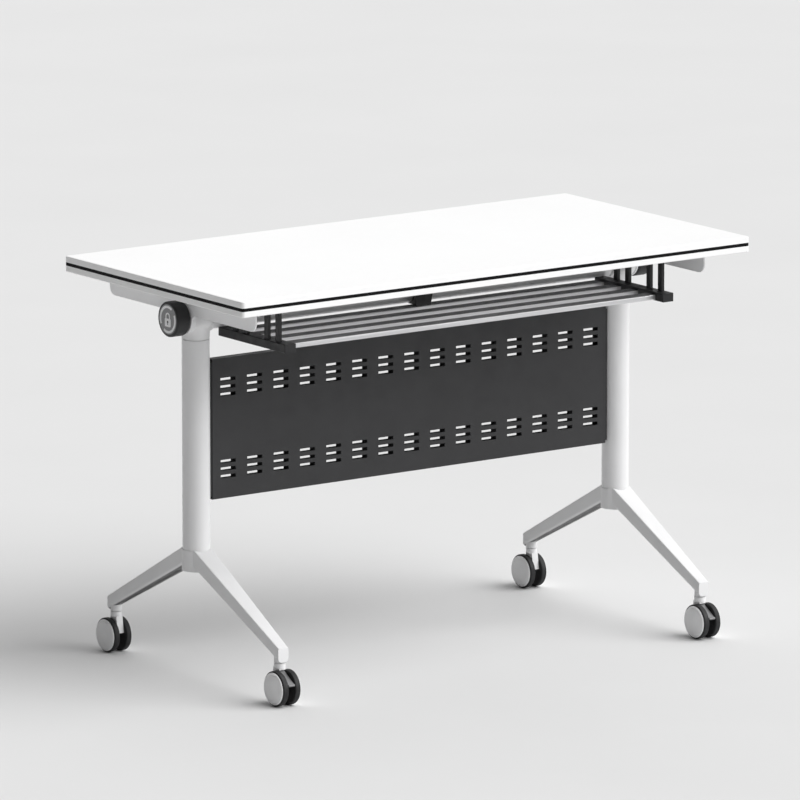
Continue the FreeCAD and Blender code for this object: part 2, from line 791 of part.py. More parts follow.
def panel_skin(label, inner, flat_away, drop):
    """A sheet with its upper and lower edges folded in to meet the other sheet."""
    body = doc.addObject("PartDesign::Body", label)
    wide = (f"-{PANEL_HALF}", PANEL_HALF)
    sheet_face = rectangles(body, label + "_face", inner, [(wide, (PANEL_LOW, PANEL_TOP))])
    pad(body, label + "_sheet", sheet_face, "skin_thick", flat_away)
    folds = [
        (wide, (PANEL_LOW, f"{PANEL_LOW} + skin_thick")),
        (wide, (f"{PANEL_TOP} - skin_thick", PANEL_TOP)),
    ]
    fold_lines = rectangles(body, label + "_fold_lines", inner, folds)
    pad(body, label + "_folds", fold_lines, "panel_thick / 2 - skin_thick - seat_gap / 2", not flat_away)
    slot_lines = rectangles(body, label + "_slot_lines", inner, slot_outlines(drop))
    pocket = body.newObject("PartDesign::Pocket", label + "_slots")
    pocket.Profile = slot_lines
    pocket.Type = "ThroughAll"
    pocket.Midplane = True
    doc.recompute()
    pattern = body.newObject("PartDesign::LinearPattern", label + "_slot_columns")
    pattern.Originals = [pocket]
    pattern.Direction = (slot_lines, ["H_Axis"])
    bind(pattern, Length=f"2 * {SLOT_REACH}", Occurrences="slot_columns")
    body.Tip = pattern
    return node(label, body)


SKIN_INSIDE = "(panel_thick / 2 - skin_thick)"
panel_skin("panel_front_skin", SKIN_INSIDE, False, "0")
panel_skin("panel_rear_skin", f"-{SKIN_INSIDE}", True, "slot_drop")

# Side channels between the skins, screwed to the columns
CHANNEL_HALF = "(panel_thick / 2 - skin_thick - seat_gap)"
channel_bar = block(
    "channel_bar",
    (f"-{CHANNEL_OUT}", f"-{CHANNEL_IN}"),
    (f"-{CHANNEL_HALF}", CHANNEL_HALF),
    (f"{PANEL_LOW} + channel_inset", f"{PANEL_TOP} - channel_inset"),
)
head_pockets = [
    rod(
        f"channel_pocket_{count}",
        "panel_screw_head + press_gap",
        "x",
        f"-{SCREW_SEAT}",
        f"-{CHANNEL_IN} + 1",
        ("0", high),
    )
    for count, high in enumerate(PANEL_SCREW_HIGHS)
]
left_channel = cut("left_channel", channel_bar, *head_pockets, *panel_screw_holes("channel_hole"))
node(
    "panel_side_channels",
    group("panel_side_channels", left_channel, mirror("right_channel", left_channel, (1, 0, 0))),
)


def panel_screw(count, high):
    head = rod(f"panel_screw_head_{count}", "panel_screw_head", "x", f"-{SCREW_SEAT}", f"-{CHANNEL_IN}", ("0", high))
    shank = rod(
        f"panel_screw_shank_{count}",
        "panel_screw_radius",
        "x",
        f"-{SCREW_SEAT} - panel_screw_long",
        f"-{SCREW_SEAT} + 1",
        ("0", high),
    )
    return join(f"panel_screw_{count}", head, shank)


left_panel_screws = [panel_screw(count, high) for count, high in enumerate(PANEL_SCREW_HIGHS)]
right_panel_screws = [
    mirror(f"right_panel_screw_{count}", screw, (1, 0, 0)) for count, screw in enumerate(left_panel_screws)
]
node("panel_screws", group("panel_screws", *left_panel_screws, *right_panel_screws))

# Book shelf: slats between two hanging end brackets
SHELF_IN = f"({SHELF_OUT} - shelf_end_wide)"
SLAT_LOW = f"({SHELF_LOW} + slat_lift)"
SLAT_FRONTS = [f"(-slat_front + {count} * slat_pitch)" for count in range(SIZES["slat_count"])]
end_bar = block(
    "shelf_end_bar",
    (f"-{SHELF_OUT}", f"-{SHELF_IN}"),
    ("-shelf_front", "-shelf_back"),
    (SHELF_LOW, f"{SHELF_LOW} + shelf_end_tall"),
)
soft_bar = soften("shelf_soft_bar", end_bar, "slat_round", lambda edge: runs_along(edge, "y") or runs_along(edge, "z"))
slat_pockets = [
    block(
        f"slat_pocket_{count}",
        (f"-{SHELF_IN} - slat_seat", f"-{SHELF_IN} + 1"),
        (f"{front} - seat_gap", f"{front} + slat_deep + seat_gap"),
        (f"{SLAT_LOW} - seat_gap", f"{SLAT_LOW} + slat_tall + seat_gap"),
    )
    for count, front in enumerate(SLAT_FRONTS)
]
HANGER_OUT = f"({SHELF_OUT} - post_outside)"
hangers = []
for count, reach in enumerate(("-hanger_far", "-hanger_near", "hanger_near", "hanger_far")):
    hanger = block(
        f"hanger_{count}",
        (f"-{HANGER_OUT}", f"-{HANGER_OUT} + hanger_wide"),
        (f"-hanger_middle + {reach} - hanger_deep / 2", f"-hanger_middle + {reach} + hanger_deep / 2"),
        (f"{SHELF_LOW} + shelf_end_tall - 1", UNDER),
    )
    hangers.append(hanger)
feet = []
for count, pair in enumerate((-1, 1)):
    middle = f"(-hanger_middle + {pair} * {FOOT_MIDDLE})"
    foot = block(
        f"hanger_foot_{count}",
        (f"-{HANGER_OUT}", f"-{HANGER_OUT} + foot_wide"),
        (f"{middle} - foot_long / 2", f"{middle} + foot_long / 2"),
        (f"{UNDER} - foot_thick", UNDER),
    )
    feet.append(foot)
shelf_end = join("shelf_end_solid", soft_bar, *hangers, *feet)
both_sides("shelf_end", cut("left_shelf_end", shelf_end, *slat_pockets, *screw_holes("foot_hole", FOOT_SCREWS[:4])))

SLAT_HALF = f"({SHELF_IN} + slat_seat - seat_gap)"


def slat(count, front):
    plain = block(
        f"slat_plain_{count}",
        (f"-{SLAT_HALF}", SLAT_HALF),
        (front, f"{front} + slat_deep"),
        (SLAT_LOW, f"{SLAT_LOW} + slat_tall"),
    )
    return soften(f"slat_{count}", plain, "slat_round", lambda edge: runs_along(edge, "x"))


node("shelf_slats", group("shelf_slats", *[slat(count, front) for count, front in enumerate(SLAT_FRONTS)]))

# Saddle: holds up the middle of the board on the cross tube, and turns round it
SADDLE_LOW = f"({SLAT_LOW} + slat_tall + saddle_gap)"
SADDLE_FRONT = f"({TUBE_RIM} + saddle_wall)"
SADDLE_Y = (f"-{SADDLE_FRONT} + saddle_plate_thick / 2", "saddle_back")
PLATE_Y = (f"-{SADDLE_FRONT}", f"-{SADDLE_FRONT} + saddle_plate_thick")
saddle_block = tapered(
    "saddle_block",
    ("-saddle_low_half", "saddle_low_half"),
    SADDLE_Y,
    SADDLE_LOW,
    ("-saddle_high_half", "saddle_high_half"),
    SADDLE_Y,
    UNDER,
)
plate_foot = tapered(
    "saddle_plate_foot",
    ("-saddle_plate_low", "saddle_plate_low"),
    PLATE_Y,
    SADDLE_LOW,
    ("-saddle_plate_high", "saddle_plate_high"),
    PLATE_Y,
    f"{SADDLE_LOW} + saddle_plate_bend",
)
plate_face = block(
    "saddle_plate_face",
    ("-saddle_plate_high", "saddle_plate_high"),
    PLATE_Y,
    (f"{SADDLE_LOW} + saddle_plate_bend", UNDER),
)
saddle_foot = block(
    "saddle_foot",
    ("-saddle_foot_half", "saddle_foot_half"),
    (f"-{SADDLE_FRONT}", "saddle_back"),
    (f"{UNDER} - saddle_foot_thick", UNDER),
)
saddle_bore = rod(
    "saddle_bore", f"{TUBE_RIM} + moving_gap", "x", "-saddle_foot_half", "saddle_foot_half", ("0", PIVOT)
)
saddle_mouth = block(
    "saddle_mouth",
    ("-saddle_foot_half", "saddle_foot_half"),
    ("0", "2 * saddle_back"),
    (f"{SADDLE_LOW} - 1", PIVOT),
)
saddle_solid = join("saddle_solid", saddle_block, plate_foot, plate_face, saddle_foot)
node(
    "centre_saddle",
    cut("centre_saddle", saddle_solid, saddle_bore, saddle_mouth, *screw_holes("saddle_hole", SADDLE_SCREWS)),
)


def wood_screw(count, x, y, plate):
    seat = f"{UNDER} - {plate}"
    head = rod(f"wood_screw_head_{count}", "screw_head", "z", f"{seat} - screw_head_tall", seat, (x, y))
    shank = rod(f"wood_screw_shank_{count}", "screw_radius", "z", f"{seat} - 1", f"{UNDER} + screw_bite", (x, y))
    return join(f"wood_screw_{count}", head, shank)


node("top_screws", group("top_screws", *[wood_screw(count, *place) for count, place in enumerate(TOP_SCREWS)]))

# Casters, drawn once for the left rear leg and mirrored to the other legs
AXLE_Y = "(stem_reach + caster_trail)"
AXLE_Z = "wheel_radius"
POST_TOP = "(boss_bottom - swivel_gap)"
POST_LOW = f"({POST_TOP} - post_tall)"
STEM_LOW = f"({POST_TOP} - stem_foot)"
MIDDLE = f"-{COLUMN}"

stem = rod("caster_stem", "stem_radius", "z", STEM_LOW, "boss_bottom + stem_seat", (MIDDLE, "stem_reach"))
WHEEL_OUT = "(wheel_inside + wheel_wide)"
AXLE_HALF = f"({WHEEL_OUT} - cap_thick)"
axle = rod("caster_axle", "axle_radius", "x", f"{MIDDLE} - {AXLE_HALF}", f"{MIDDLE} + {AXLE_HALF}", (AXLE_Y, AXLE_Z))
post = rod("caster_post", "post_radius", "z", POST_LOW, POST_TOP, (MIDDLE, "stem_reach"))
caster_web = tapered(
    "caster_web",
    (f"{MIDDLE} - web_half", f"{MIDDLE} + web_half"),
    (f"{AXLE_Y} - web_front", f"{AXLE_Y} + web_back"),
    f"{AXLE_Z} + web_lift",
    (f"{MIDDLE} - web_half", f"{MIDDLE} + web_half"),
    ("stem_reach - post_radius", "stem_reach + web_top_back"),
    f"{POST_LOW} + 1",
)
BOSS_HALF = "(wheel_inside - moving_gap)"
axle_boss = rod(
    "caster_axle_boss", "axle_boss", "x", f"{MIDDLE} - {BOSS_HALF}", f"{MIDDLE} + {BOSS_HALF}", (AXLE_Y, AXLE_Z)
)
stem_bore = rod(
    "caster_stem_bore", "stem_radius + press_gap", "z", STEM_LOW, f"{POST_TOP} + 1", (MIDDLE, "stem_reach")
)
axle_bore = rod(
    "caster_axle_bore",
    "axle_radius + press_gap",
    "x",
    f"{MIDDLE} - wheel_inside",
    f"{MIDDLE} + wheel_inside",
    (AXLE_Y, AXLE_Z),
)
plain_housing = cut("plain_housing", join("housing_solid", post, caster_web, axle_boss), stem_bore, axle_bore)
plain_pins = group("plain_pins", stem, axle)

# Foot brake: a lever pinned in a slot of the housing, on the side the wheels trail to
PEDAL_Y = "(stem_reach + pedal_pivot_out)"
PEDAL_Z = "pedal_pivot_high"
pedal_slot = block(
    "pedal_slot",
    (f"{MIDDLE} - pedal_slot_half", f"{MIDDLE} + pedal_slot_half"),
    (f"{PEDAL_Y} - pedal_eye - pedal_pin", f"{PEDAL_Y} + pedal_slot_back"),
    ("pedal_slot_floor", f"{PEDAL_Z} + pedal_eye + 2 * moving_gap"),
)


def pedal_room(name, lean, along, above):
    """Room for the pedal's plate: a box that leans with it, placed along the lever and above its pin."""
    item = doc.addObject("Part::Box", name)
    item.Placement.Rotation = FreeCAD.Rotation(FreeCAD.Vector(1, 0, 0), -amount(lean))
    bind(item, Length="4 * web_half", Width=f"{along[1]} - ({along[0]})", Height=f"{above[1]} - ({above[0]})")
    reach = f"{PEDAL_Y} + ({along[0]}) * cos({lean}) + ({above[0]}) * sin({lean})"
    high = f"{PEDAL_Z} - ({along[0]}) * sin({lean}) + ({above[0]}) * cos({lean})"
    return put(item, f"{MIDDLE} - 2 * web_half", reach, high)


ROOM_LOW = "(pedal_rise - pedal_clear)"
room_up = pedal_room(
    "pedal_room_up",
    "pedal_tilt",
    ("-pedal_behind - 2 * pedal_clear", "pedal_behind"),
    (ROOM_LOW, "pedal_rise + 2.4 * pedal_thick"),
)
room_down = pedal_room(
    "pedal_room_down",
    "(pedal_tilt + pedal_press)",
    ("-pedal_behind / 2", "pedal_long + pedal_slot_back"),
    (ROOM_LOW, "pedal_slot_back"),
)
pin_bore = rod(
    "pedal_pin_bore",
    "pedal_pin + press_gap",
    "x",
    f"{MIDDLE} - web_half - 1",
    f"{MIDDLE} + web_half + 1",
    (PEDAL_Y, PEDAL_Z),
)
brake_housing = cut("brake_housing", plain_housing, pedal_slot, room_up, room_down, pin_bore)
pedal_pin = rod(
    "pedal_pin_rod", "pedal_pin", "x", f"{MIDDLE} - web_half", f"{MIDDLE} + web_half", (PEDAL_Y, PEDAL_Z)
)
brake_pins = group("brake_pins", stem, axle, pedal_pin)
pedal_eye = rod("pedal_eye_disc", "pedal_eye", "x", "-pedal_lug_half", "pedal_lug_half", ("0", "0"))
pedal_lug = block(
    "pedal_lug",
    ("-pedal_lug_half", "pedal_lug_half"),
    ("-pedal_eye / 2", "pedal_lug_long"),
    ("-pedal_lug_low", "pedal_rise + pedal_thick / 2"),
)
pedal_plate = block(
    "pedal_plate",
    ("-pedal_half", "pedal_half"),
    ("-pedal_behind", "pedal_long"),
    ("pedal_rise", "pedal_rise + pedal_thick"),
)
pedal_lip = rod(
    "pedal_lip_rod", "pedal_lip", "x", "-pedal_half", "pedal_half", ("pedal_long", "pedal_rise + pedal_thick / 2")
)
pedal_bore = rod("pedal_bore", "pedal_pin + running_fit", "x", "-2 * pedal_half", "2 * pedal_half", ("0", "0"))
pedal_form = join("pedal_form", pedal_eye, pedal_lug, pedal_plate, pedal_lip)
pedal = cut("pedal", pedal_form, pedal_bore)
pedal.Placement.Rotation = FreeCAD.Rotation(FreeCAD.Vector(1, 0, 0), -amount("pedal_tilt"))
put(pedal, MIDDLE, PEDAL_Y, PEDAL_Z)

# Wheels: a rubber tyre, closed on its inner side, on a capped disc, one each side of the housing


def wheel_disc(name, side):
    """The disc of one wheel; side -1 is outside the left leg."""
    out = f"{MIDDLE} + {side} * {WHEEL_OUT}"
    cap_in = f"{MIDDLE} + {side} * ({WHEEL_OUT} - cap_thick)"
    inside = f"{MIDDLE} + {side} * wheel_inside"
    bore_end = f"{MIDDLE} + {side} * ({AXLE_HALF} + seat_gap)"
    low_high = (lambda first, last: (first, last)) if side > 0 else (lambda first, last: (last, first))
    core_in = f"{MIDDLE} + {side} * (wheel_inside + tyre_wall + seat_gap)"
    core = rod(name + "_core", CORE, "x", *low_high(core_in, out), (AXLE_Y, AXLE_Z))
    cap = rod(name + "_cap", "cap_radius", "x", *low_high(cap_in, out), (AXLE_Y, AXLE_Z))
    soft_cap = soften(
        name + "_soft_cap",
        cap,
        "cap_soft",
        lambda edge: round_edge(edge) and abs(edge.CenterOfMass.x - amount(out)) < 0.01,
    )
    bore = rod(name + "_bore", "axle_radius + running_fit", "x", *low_high(inside, bore_end), (AXLE_Y, AXLE_Z))
    return cut(name, join(name + "_solid", core, soft_cap), bore)


CORE = "(wheel_radius - tread_thick)"


def wheel_tread(name, side):
    cap_in = f"{MIDDLE} + {side} * ({WHEEL_OUT} - cap_thick - seat_gap)"
    inside = f"{MIDDLE} + {side} * wheel_inside"
    wall = f"{MIDDLE} + {side} * (wheel_inside + tyre_wall)"
    past = f"{MIDDLE} + {side} * (wheel_inside + wheel_wide + 1)"
    low, high = (inside, cap_in) if side > 0 else (cap_in, inside)
    plain = rod(name + "_plain", "wheel_radius", "x", low, high, (AXLE_Y, AXLE_Z))
    soft = soften(name + "_soft", plain, "wheel_round", round_edge)
    hollow_low, hollow_high = (wall, past) if side > 0 else (past, wall)
    hollow = rod(name + "_hollow", f"{CORE} + press_gap", "x", hollow_low, hollow_high, (AXLE_Y, AXLE_Z))
    bore = rod(name + "_bore", "axle_radius + running_fit", "x", f"{low} - 1", f"{high} + 1", (AXLE_Y, AXLE_Z))
    return cut(name, soft, hollow, bore)


def corner(label, housing, pins, front):
    """Place a caster's pieces on one leg of each side."""
    pieces = {"caster_housing": housing, "caster_pins": pins}
    for where, side in (("outer", -1), ("inner", 1)):
        pieces[f"{where}_wheel_disc"] = WHEELS[where, "disc"]
        pieces[f"{where}_wheel_tread"] = WHEELS[where, "tread"]
    for kind, item in pieces.items():
        name = f"{label}_{kind}"
        placed = mirror("left_" + name, item, (0, 1, 0)) if front else group("left_" + name, item)
        both_sides(name, placed)


WHEELS = {}
for where, side in (("outer", -1), ("inner", 1)):
    WHEELS[where, "disc"] = wheel_disc(f"{where}_disc", side)
    WHEELS[where, "tread"] = wheel_tread(f"{where}_tread", side)
corner("rear", plain_housing, plain_pins, False)
corner("front", brake_housing, brake_pins, True)
both_sides("brake_pedal", mirror("left_brake_pedal", pedal, (0, 1, 0)))

doc.recompute()
for item in doc.Objects:
    if "Invalid" in item.State or "Error" in item.State:
        raise RuntimeError(f"{item.Label} failed: {item.State}")
for label, item in NODES.items():
    if item.Shape.isNull() or not item.Shape.isValid():
        raise RuntimeError(f"{label} has no sound shape")

os.makedirs("parts", exist_ok=True)
for label, item in NODES.items():
    item.Shape.exportStep(f"parts/{label}.step")
print(len(NODES), "pieces written")
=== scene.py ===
import json
import math

import bmesh
import bpy
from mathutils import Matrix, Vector


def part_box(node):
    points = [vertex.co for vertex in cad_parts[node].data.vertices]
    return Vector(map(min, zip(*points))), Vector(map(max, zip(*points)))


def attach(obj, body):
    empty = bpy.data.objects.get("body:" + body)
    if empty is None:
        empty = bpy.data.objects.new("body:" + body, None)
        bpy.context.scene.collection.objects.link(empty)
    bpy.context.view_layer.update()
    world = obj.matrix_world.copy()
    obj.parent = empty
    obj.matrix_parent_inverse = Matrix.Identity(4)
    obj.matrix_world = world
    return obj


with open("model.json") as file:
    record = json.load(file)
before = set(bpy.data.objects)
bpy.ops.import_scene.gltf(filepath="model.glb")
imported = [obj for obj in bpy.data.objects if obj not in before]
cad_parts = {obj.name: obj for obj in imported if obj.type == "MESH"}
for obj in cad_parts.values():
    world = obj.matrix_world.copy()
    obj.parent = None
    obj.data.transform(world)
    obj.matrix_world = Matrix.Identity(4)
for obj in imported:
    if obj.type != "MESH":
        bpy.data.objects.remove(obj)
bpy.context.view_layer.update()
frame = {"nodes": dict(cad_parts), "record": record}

nodes = frame["nodes"]
scene = bpy.context.scene

# Places of the frame's pieces that several details share, in metres
COLUMN_X = 0.476
SIDES = (("left", -1), ("right", 1))
ENDS = (("front", -1), ("rear", 1))


# Camera at the photograph's angle

AZIMUTH, ELEVATION = math.radians(-35.582), math.radians(11.244)
AIM_RIGHT, AIM_UP, AIM_HIGH = -0.016846, 0.084871, 0.375
CAMERA_AWAY = 17.3078
SENSOR_WIDE, LENS = 36, 421.82
CLIP_END = 200


def place_camera():
    back = Vector((
        math.sin(AZIMUTH) * math.cos(ELEVATION),
        -math.cos(AZIMUTH) * math.cos(ELEVATION),
        math.sin(ELEVATION),
    ))
    right = Vector((math.cos(AZIMUTH), math.sin(AZIMUTH), 0))
    up = back.cross(right)
    target = right * AIM_RIGHT + up * AIM_UP + Vector((0, 0, AIM_HIGH))
    camera_data = bpy.data.cameras.new("camera")
    camera_data.sensor_width = SENSOR_WIDE
    camera_data.lens = LENS
    camera_data.clip_end = CLIP_END
    camera = bpy.data.objects.new("camera", camera_data)
    camera.location = target + back * CAMERA_AWAY
    camera.rotation_mode = "QUATERNION"
    camera.rotation_quaternion = (-back).to_track_quat("-Z", "Y")
    scene.collection.objects.link(camera)
    scene.camera = camera


place_camera()


# Light: a bright studio, lit from the front right, with a dimmer left side

GLOW_LEFT, GLOW_RIGHT = 0.03, 0.95
GLOW_START, GLOW_END = -0.8, 0.7
SUN_ENERGY = 2.6
SUN_ANGLE = math.radians(58)
SUN_WAY = Vector((-0.50, 0.60, -0.78))


def studio():
    world = bpy.data.worlds.new("studio")
    scene.world = world
    world.use_nodes = True
    tree = world.node_tree
    place = tree.nodes.new("ShaderNodeTexCoord")
    split = tree.nodes.new("ShaderNodeSeparateXYZ")
    tree.links.new(place.outputs["Generated"], split.inputs[0])
    side = tree.nodes.new("ShaderNodeMapRange")
    side.interpolation_type = "SMOOTHSTEP"
    side.inputs["From Min"].default_value = GLOW_START
    side.inputs["From Max"].default_value = GLOW_END
    side.inputs["To Min"].default_value = GLOW_LEFT
    side.inputs["To Max"].default_value = GLOW_RIGHT
    tree.links.new(split.outputs["X"], side.inputs["Value"])
    tree.links.new(side.outputs[0], tree.nodes["Background"].inputs["Strength"])
    tree.nodes["Background"].inputs["Color"].default_value = (1, 1, 1, 1)

    sun_data = bpy.data.lights.new("key", "SUN")
    sun_data.energy = SUN_ENERGY
    sun_data.angle = SUN_ANGLE
    sun = bpy.data.objects.new("key", sun_data)
    sun.rotation_mode = "QUATERNION"
    sun.rotation_quaternion = SUN_WAY.to_track_quat("-Z", "Y")
    scene.collection.objects.link(sun)
    scene.view_settings.view_transform = "Standard"
    scene.view_settings.look = "None"


studio()


# Materials

NOISE_LOW, NOISE_HIGH = 0.3, 0.7
COLOUR_DETAIL, GLOSS_DETAIL, GRAIN_DETAIL = 4.0, 3.0, 2.0


class Paint:
    """A node material built up from object space noise."""

    def __init__(self, name, colour, roughness, metallic=0.0, specular=0.5):
        self.material = bpy.data.materials.new(name)
        self.material.use_nodes = True
        self.tree = self.material.node_tree
        self.shader = self.tree.nodes["Principled BSDF"]
        self.shader.inputs["Base Color"].default_value = (*colour, 1)
        self.shader.inputs["Roughness"].default_value = roughness
        self.shader.inputs["Metallic"].default_value = metallic
        self.shader.inputs["Specular IOR Level"].default_value = specular
        self.colour = colour
        self.roughness = roughness
        self.place = self.tree.nodes.new("ShaderNodeTexCoord")
        self.tone = None

    def node(self, kind, **values):
        item = self.tree.nodes.new(kind)
        for name, value in values.items():
            item.inputs[name.replace("_", " ")].default_value = value
        return item

    def noise(self, scale, detail, stretch):
        """Noise with features about one over scale metres across, longer along a stretched axis."""
        source = self.place.outputs["Object"]
        if stretch:
            mapping = self.node("ShaderNodeMapping", Scale=stretch)
            self.tree.links.new(source, mapping.inputs["Vector"])
            source = mapping.outputs[0]
        item = self.node("ShaderNodeTexNoise", Scale=scale, Detail=detail)
        self.tree.links.new(source, item.inputs["Vector"])
        return item.outputs[0]

    def spread(self, value, low, high):
        """The usual span of a noise, stretched to the span between two values."""
        span = {"From_Min": NOISE_LOW, "From_Max": NOISE_HIGH, "To_Min": low, "To_Max": high}
        item = self.node("ShaderNodeMapRange", **span)
        self.tree.links.new(value, item.inputs["Value"])
        return item.outputs[0]

    def colour_mix(self, share):
        """A mix of two colours by a share, which becomes the shader's colour."""
        mix = self.tree.nodes.new("ShaderNodeMix")
        mix.data_type = "RGBA"
        self.tree.links.new(share, mix.inputs["Factor"])
        self.tone = mix.outputs["Result"]
        self.tree.links.new(self.tone, self.shader.inputs["Base Color"])
        return mix

    def vary(self, scale, share, stretch=None):
        """Let the colour drift between a darker and a lighter tone."""
        mix = self.colour_mix(self.spread(self.noise(scale, COLOUR_DETAIL, stretch), 0, 1))
        mix.inputs["A"].default_value = (*(c * (1 - share) for c in self.colour), 1)
        mix.inputs["B"].default_value = (*(min(1, c * (1 + share)) for c in self.colour), 1)
        return self

    def gloss(self, scale, share, stretch=None):
        """Let the roughness drift by a share of itself."""
        low, high = self.roughness * (1 - share), min(1, self.roughness * (1 + share))
        value = self.spread(self.noise(scale, GLOSS_DETAIL, stretch), low, high)
        self.tree.links.new(value, self.shader.inputs["Roughness"])
        return self

    def grain(self, scale, depth, stretch=None, strength=0.5):
        """Fine relief, depth in metres."""
        bump = self.node("ShaderNodeBump", Strength=strength, Distance=depth)
        self.tree.links.new(self.noise(scale, GRAIN_DETAIL, stretch), bump.inputs["Height"])
        self.tree.links.new(bump.outputs[0], self.shader.inputs["Normal"])
        return self

    def cover(self, colour, share):
        """Another colour over the one so far."""
        below = self.tone
        mix = self.colour_mix(share)
        self.tree.links.new(below, mix.inputs["A"])
        mix.inputs["B"].default_value = (*colour, 1)

    def height_of(self, output):
        """The upward part of a position or a direction in the piece's own space."""
        split = self.tree.nodes.new("ShaderNodeSeparateXYZ")
        self.tree.links.new(self.place.outputs[output], split.inputs[0])
        return split.outputs["Z"]

    def painted_shade_under(self, colour, start, full):
        """Painted shade: another colour where the piece's own surface faces down, blended between two
        slopes.
        """
        share = self.node("ShaderNodeMapRange", From_Min=start, From_Max=full, To_Min=0, To_Max=1)
        self.tree.links.new(self.height_of("Normal"), share.inputs["Value"])
        self.cover(colour, share.outputs[0])

    def back_sheet(self, colour, height):
        """Another colour on what lies below a height in the piece's own space."""
        below = self.tree.nodes.new("ShaderNodeMath")
        below.operation = "LESS_THAN"
        below.inputs[1].default_value = height
        self.tree.links.new(self.height_of("Object"), below.inputs[0])
        self.cover(colour, below.outputs[0])


paints = {}


def paint(name, colour, roughness, metallic=0.0, specular=0.5):
    paints[name] = Paint(name, colour, roughness, metallic, specular)
    return paints[name]


def grey(tone, blue=None):
    return (tone, tone, blue or tone)


ALONG_EDGE = (0.2, 0.2, 1)
ALONG_SLAT = (0.01, 1, 1)
SLAT_LINES = (0.005, 1, 1)
# Slopes of a piece's own normals between which the painted shade under the legs fades in
SHADE_SLOPE_START, SHADE_SLOPE_FULL = -0.6, -0.84
BACK_SHEET_THICK = 0.0003


def board_paints():
    board = paint("white_melamine", grey(0.92), 0.42).vary(3, 0.012).gloss(60, 0.2).grain(900, 0.00012)
    board.back_sheet(grey(0.80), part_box("desktop_board")[0].z + BACK_SHEET_THICK)
    paint("white_edging", grey(0.90), 0.35).vary(8, 0.015).gloss(40, 0.2).grain(1200, 0.0001, ALONG_EDGE)
    stripe = paint("black_stripe", grey(0.004, 0.0045), 0.55, specular=0.1)
    stripe.vary(40, 0.3).gloss(60, 0.15).grain(1500, 0.0001)


def metal_paints():
    tube = paint("silver_paint", grey(0.78, 0.785), 0.38, 0.05)
    tube.vary(12, 0.02).gloss(50, 0.15).grain(1400, 0.00012)
    for name in ("white_casting", "leg_casting_painted_shade"):
        casting = paint(name, grey(0.78, 0.785), 0.42, 0.03)
        casting.vary(14, 0.025).gloss(40, 0.2).grain(1100, 0.00018)
    # Painted shade: the legs' down-facing faces turn near black, standing for the shadow under them
    paints["leg_casting_painted_shade"].painted_shade_under(grey(0.04, 0.042), SHADE_SLOPE_START, SHADE_SLOPE_FULL)
    panel = paint("dark_grey_paint", grey(0.03, 0.0315), 0.52, specular=0.35)
    panel.vary(10, 0.08).gloss(30, 0.15).grain(1600, 0.00016)
    paint("steel", grey(0.55, 0.56), 0.32, 1.0).vary(200, 0.1).gloss(300, 0.3).grain(1800, 0.00005)
    slat = paint("slat_aluminium", grey(0.66, 0.67), 0.36, 0.75)
    slat.vary(500, 0.1, ALONG_SLAT).gloss(900, 0.25, ALONG_SLAT).grain(2500, 0.00006, SLAT_LINES)


def plastic_paints():
    paint("pale_nylon", (0.72, 0.71, 0.67), 0.5).vary(60, 0.05).gloss(80, 0.2).grain(900, 0.0001)
    black = paint("black_plastic", grey(0.012, 0.013), 0.46, specular=0.4)
    black.vary(25, 0.2).gloss(60, 0.2).grain(1300, 0.00025, strength=0.6)
    paint("grey_plastic", grey(0.24, 0.245), 0.4).vary(60, 0.08).gloss(90, 0.2).grain(1500, 0.0001)
    pale = paint("light_grey_plastic", grey(0.84, 0.845), 0.42)
    pale.vary(50, 0.03).gloss(70, 0.2).grain(1300, 0.00015)
    dark = paint("dark_grey_plastic", grey(0.20, 0.204), 0.4)
    dark.vary(60, 0.12).gloss(80, 0.2).grain(1300, 0.0002)
    paint("disc_plastic", grey(0.90, 0.905), 0.4).vary(40, 0.03).gloss(80, 0.2).grain(1500, 0.0001)
    rubber = paint("black_rubber", grey(0.014, 0.015), 0.62, specular=0.4)
    rubber.vary(60, 0.25).gloss(90, 0.15).grain(900, 0.0003)
    # Painted shade: the near-black strips on the slat tops stand for the shadow under the desk
    strip_paint = paint("slat_painted_shade", grey(0.14, 0.143), 0.5, specular=0.3)
    strip_paint.vary(30, 0.1).gloss(60, 0.2).grain(1200, 0.0002)
    paint("pale_print", grey(0.82, 0.83), 0.45).vary(90, 0.05).grain(1500, 0.00005)


def dress_cad():
    for entry in frame["record"]["subparts"]:
        item = nodes[entry["node"]]
        item.data.materials.clear()
        # The legs take the copy of the casting paint that carries painted shade under them
        name = "leg_casting_painted_shade" if entry["node"].endswith("_leg") else entry["material_slot"]
        item.data.materials.append(paints[name].material)


board_paints()
metal_paints()
plastic_paints()
dress_cad()


# Shared ways to make a piece

def add_piece(name, bm, paint_name, body):
    mesh = bpy.data.meshes.new(name)
    bmesh.ops.recalc_face_normals(bm, faces=bm.faces)
    bm.to_mesh(mesh)
    bm.free()
    mesh.materials.append(paints[paint_name].material)
    item = bpy.data.objects.new(name, mesh)
    scene.collection.objects.link(item)
    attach(item, body)
    return item


def loft(bm, sections):
    """A closed skin through sections with as many points each."""
    rings = [[bm.verts.new(spot) for spot in section] for section in sections]
    bm.faces.new(rings[0])
    bm.faces.new(rings[-1])
    count = len(rings[0])
    for near, far in zip(rings, rings[1:]):
        for step in range(count):
            after = (step + 1) % count
            bm.faces.new((near[step], near[after], far[after], far[step]))


def prism(bm, outline, place, low, high):
    """A flat plate with the given outline, between two depths."""
    loft(bm, [[place(u, v, depth) for u, v in outline] for depth in (low, high)])


def arc(inner, outer, start, end, middle=(0, 0), steps=40):
    angles = [math.radians(start + (end - start) * step / steps) for step in range(steps + 1)]
    near = [(middle[0] + inner * math.cos(a), middle[1] + inner * math.sin(a)) for a in angles]
    far = [(middle[0] + outer * math.cos(a), middle[1] + outer * math.sin(a)) for a in reversed(angles)]
    return near + far


